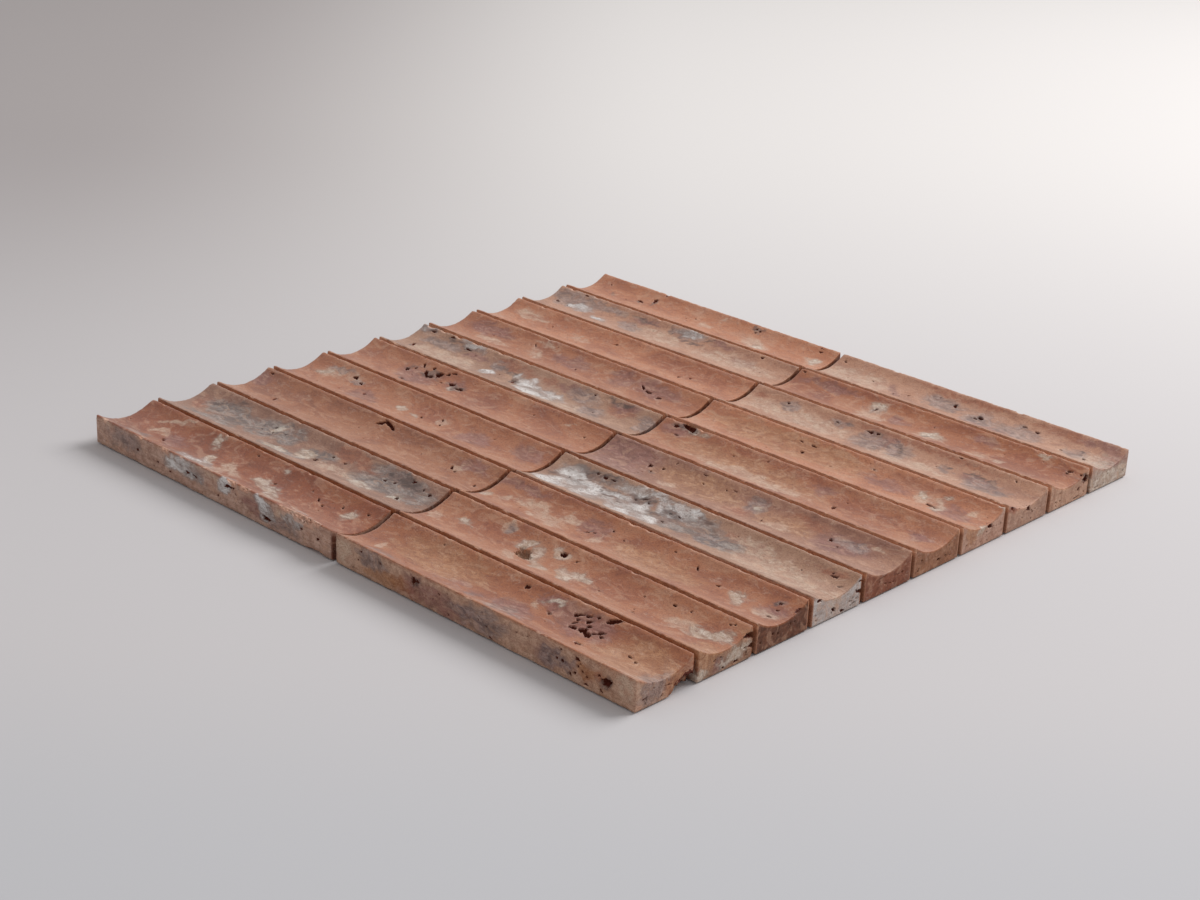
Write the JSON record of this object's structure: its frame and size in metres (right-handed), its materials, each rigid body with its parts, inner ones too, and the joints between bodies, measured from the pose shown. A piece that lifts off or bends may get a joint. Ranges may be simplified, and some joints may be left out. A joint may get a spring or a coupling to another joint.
{
  "type": "fluted travertine tile",
  "caption": "Square sheet of sawn travertine strips, each with one hollow flute, on an open glass-fibre net.",
  "frame": {"origin": "middle of the net's underside, which is the face that is bonded to the wall", "axes": "+X along the strips, +Y across them, +Z out of the fluted face"},
  "size_m": [0.303, 0.303, 0.0125],
  "materials": {
    "terracotta_travertine": "honed, unfilled",
    "sandy_travertine": "honed, unfilled",
    "greyed_travertine": "honed, unfilled",
    "glass_fibre_net": "resin-coated open net"
  },
  "bodies": {
    "root": {"strip_left_01": "terracotta_travertine", "strip_left_02": "greyed_travertine", "strip_left_03": "terracotta_travertine", "strip_left_04": "terracotta_travertine", "strip_left_05": "terracotta_travertine", "strip_left_06": "greyed_travertine", "strip_left_07": "greyed_travertine", "strip_left_08": "sandy_travertine", "strip_left_09": "greyed_travertine", "strip_left_10": "sandy_travertine", "strip_right_01": "terracotta_travertine", "strip_right_02": "sandy_travertine", "strip_right_03": "terracotta_travertine", "strip_right_04": "greyed_travertine", "strip_right_05": "sandy_travertine", "strip_right_06": "terracotta_travertine", "strip_right_07": "sandy_travertine", "strip_right_08": "greyed_travertine", "strip_right_09": "terracotta_travertine", "strip_right_10": "greyed_travertine", "net_left": "glass_fibre_net", "net_middle": "glass_fibre_net", "net_right": "glass_fibre_net"}
  },
  "joints": []
}
